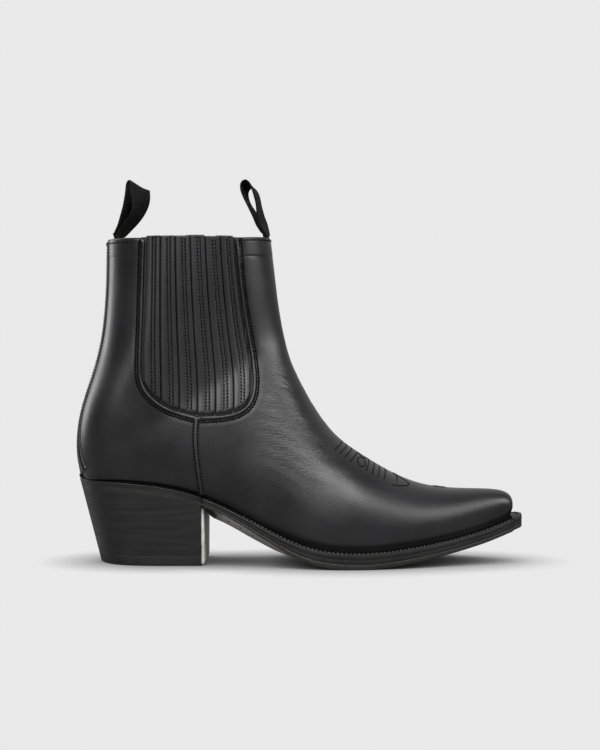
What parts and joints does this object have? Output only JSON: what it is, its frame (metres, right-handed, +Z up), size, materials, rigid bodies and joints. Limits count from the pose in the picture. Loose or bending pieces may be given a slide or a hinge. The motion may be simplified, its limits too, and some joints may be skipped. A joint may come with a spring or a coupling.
{
  "type": "cowboy boot",
  "caption": "Black leather western ankle boot with snip toe, elastic side gores under stitched strips, two webbing pull loops and a stacked heel.",
  "frame": {"origin": "middle of the boot's length and width, on the ground", "axes": "+X to the toe, +Y to the wearer's left, +Z up; the lateral side of this right boot faces -Y"},
  "size_m": [0.2798, 0.0912, 0.2398],
  "materials": {
    "upper_leather": "smooth black calf, satin",
    "strip_leather": "smooth black calf, stitched",
    "lining_leather": "natural pigskin, matt",
    "elastic": "woven elastic",
    "webbing": "herringbone webbing",
    "stiffener": "pressed fibre board",
    "board": "fibre board",
    "sock_leather": "smooth",
    "cork": "granulated cork",
    "shank_steel": "tempered steel",
    "black_sole_leather": "blacked sole edge",
    "tan_sole_leather": "oak-tanned sole leather",
    "peg_wood": "birch pegs, stained",
    "heel_leather": "stacked leather, blacked and waxed",
    "breast_leather": "natural sole leather",
    "top_rubber": "moulded rubber",
    "nail_steel": "steel"
  },
  "bodies": {
    "boot": {"front_upper": "upper_leather", "quarter_lateral": "upper_leather", "quarter_medial": "upper_leather", "backstay": "upper_leather", "seam_strip_lateral": "upper_leather", "seam_strip_medial": "upper_leather", "gore_elastic_lateral": "elastic", "gore_elastic_medial": "elastic", "gore_strip_lateral_1": "strip_leather", "gore_strip_lateral_2": "strip_leather", "gore_strip_lateral_3": "strip_leather", "gore_strip_lateral_4": "strip_leather", "gore_strip_lateral_5": "strip_leather", "gore_strip_lateral_6": "strip_leather", "gore_strip_medial_1": "strip_leather", "gore_strip_medial_2": "strip_leather", "gore_strip_medial_3": "strip_leather", "gore_strip_medial_4": "strip_leather", "gore_strip_medial_5": "strip_leather", "gore_strip_medial_6": "strip_leather", "front_lining": "lining_leather", "quarter_lining_lateral": "lining_leather", "quarter_lining_medial": "lining_leather", "toe_puff": "stiffener", "heel_counter": "stiffener", "front_facing": "lining_leather", "rear_facing": "lining_leather", "loop_anchor_front": "webbing", "loop_anchor_rear": "webbing", "insole_board": "board", "sock_liner": "sock_leather", "cork_filler": "cork", "steel_shank": "shank_steel", "welt": "black_sole_leather", "heel_rand": "black_sole_leather", "midsole": "black_sole_leather", "outsole": "tan_sole_leather", "waist_pegs": "peg_wood", "heel_wedge": "heel_leather", "heel_lift_1": "heel_leather", "heel_lift_2": "heel_leather", "heel_lift_3": "heel_leather", "heel_lift_4": "heel_leather", "heel_lift_5": "heel_leather", "top_piece": "top_rubber", "heel_breast_cover": "breast_leather", "heel_nails": "nail_steel"},
    "front_pull": {"pull_loop_front": "webbing"},
    "rear_pull": {"pull_loop_rear": "webbing"}
  },
  "joints": [
    {"name": "front_loop_bend", "type": "hinge", "parent": "boot", "child": "front_pull", "pos_m": [-0.0214, 0, 0.2055], "axis": [0, 1, 0], "range_deg": [-45, 60], "stiffness_Nm_per_rad": 0.01},
    {"name": "rear_loop_bend", "type": "hinge", "parent": "boot", "child": "rear_pull", "pos_m": [-0.1144, 0, 0.2042], "axis": [0, 1, 0], "range_deg": [-60, 30], "stiffness_Nm_per_rad": 0.01}
  ]
}
